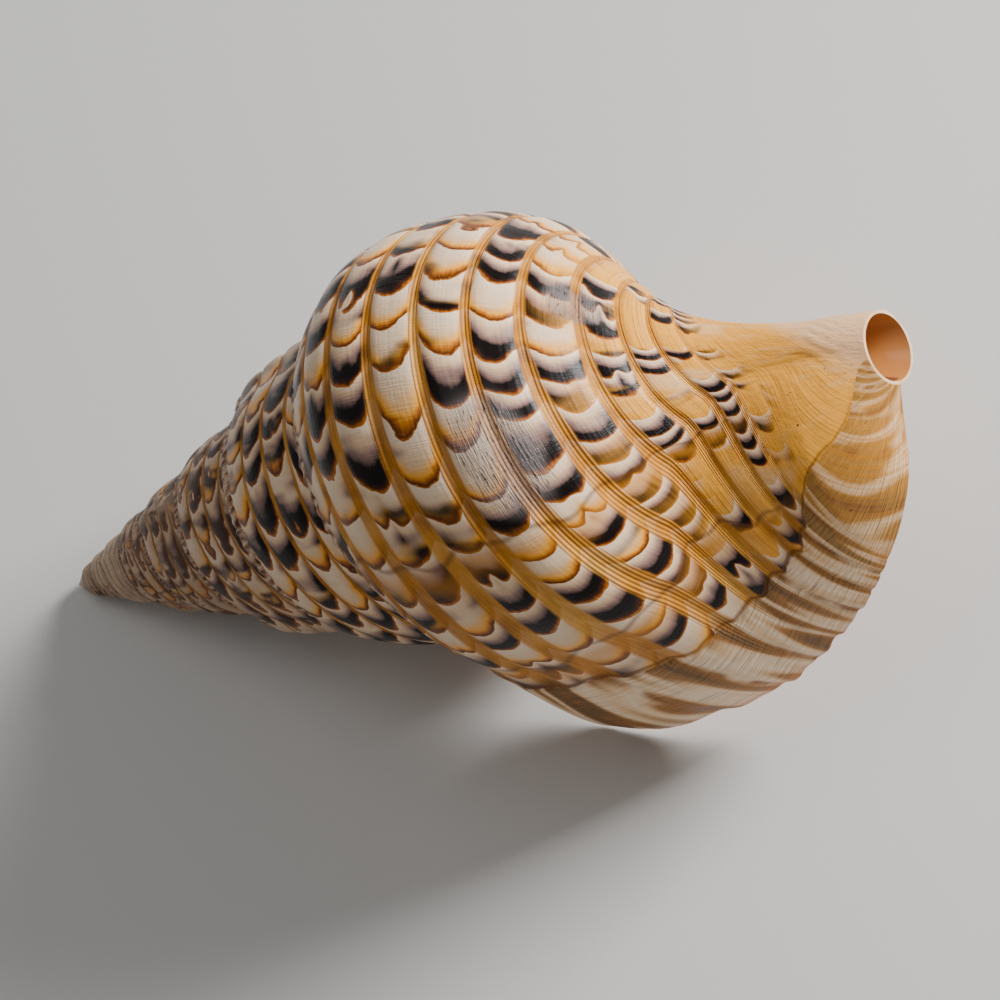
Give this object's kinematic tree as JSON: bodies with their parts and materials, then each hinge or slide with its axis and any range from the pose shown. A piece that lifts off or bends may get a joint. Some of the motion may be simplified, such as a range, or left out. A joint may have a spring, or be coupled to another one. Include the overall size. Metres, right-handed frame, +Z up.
{
  "type": "triton shell",
  "caption": "Large spiral sea snail shell with a tall spire, broad spiral cords, a flared wavy outer lip and a short open canal, lying with its aperture down.",
  "frame": {"origin": "centre of the shell's outer box, on the surface that it rests on", "axes": "+Z up; the spire points to -X and +Y, the canal to +X and -Y, the aperture faces down, to +X and to the back"},
  "size_m": [0.1802, 0.1758, 0.1101],
  "materials": {
    "shell": "polished natural shell, cream with brown crescents"
  },
  "bodies": {
    "root": {"shell": "shell"}
  },
  "joints": []
}
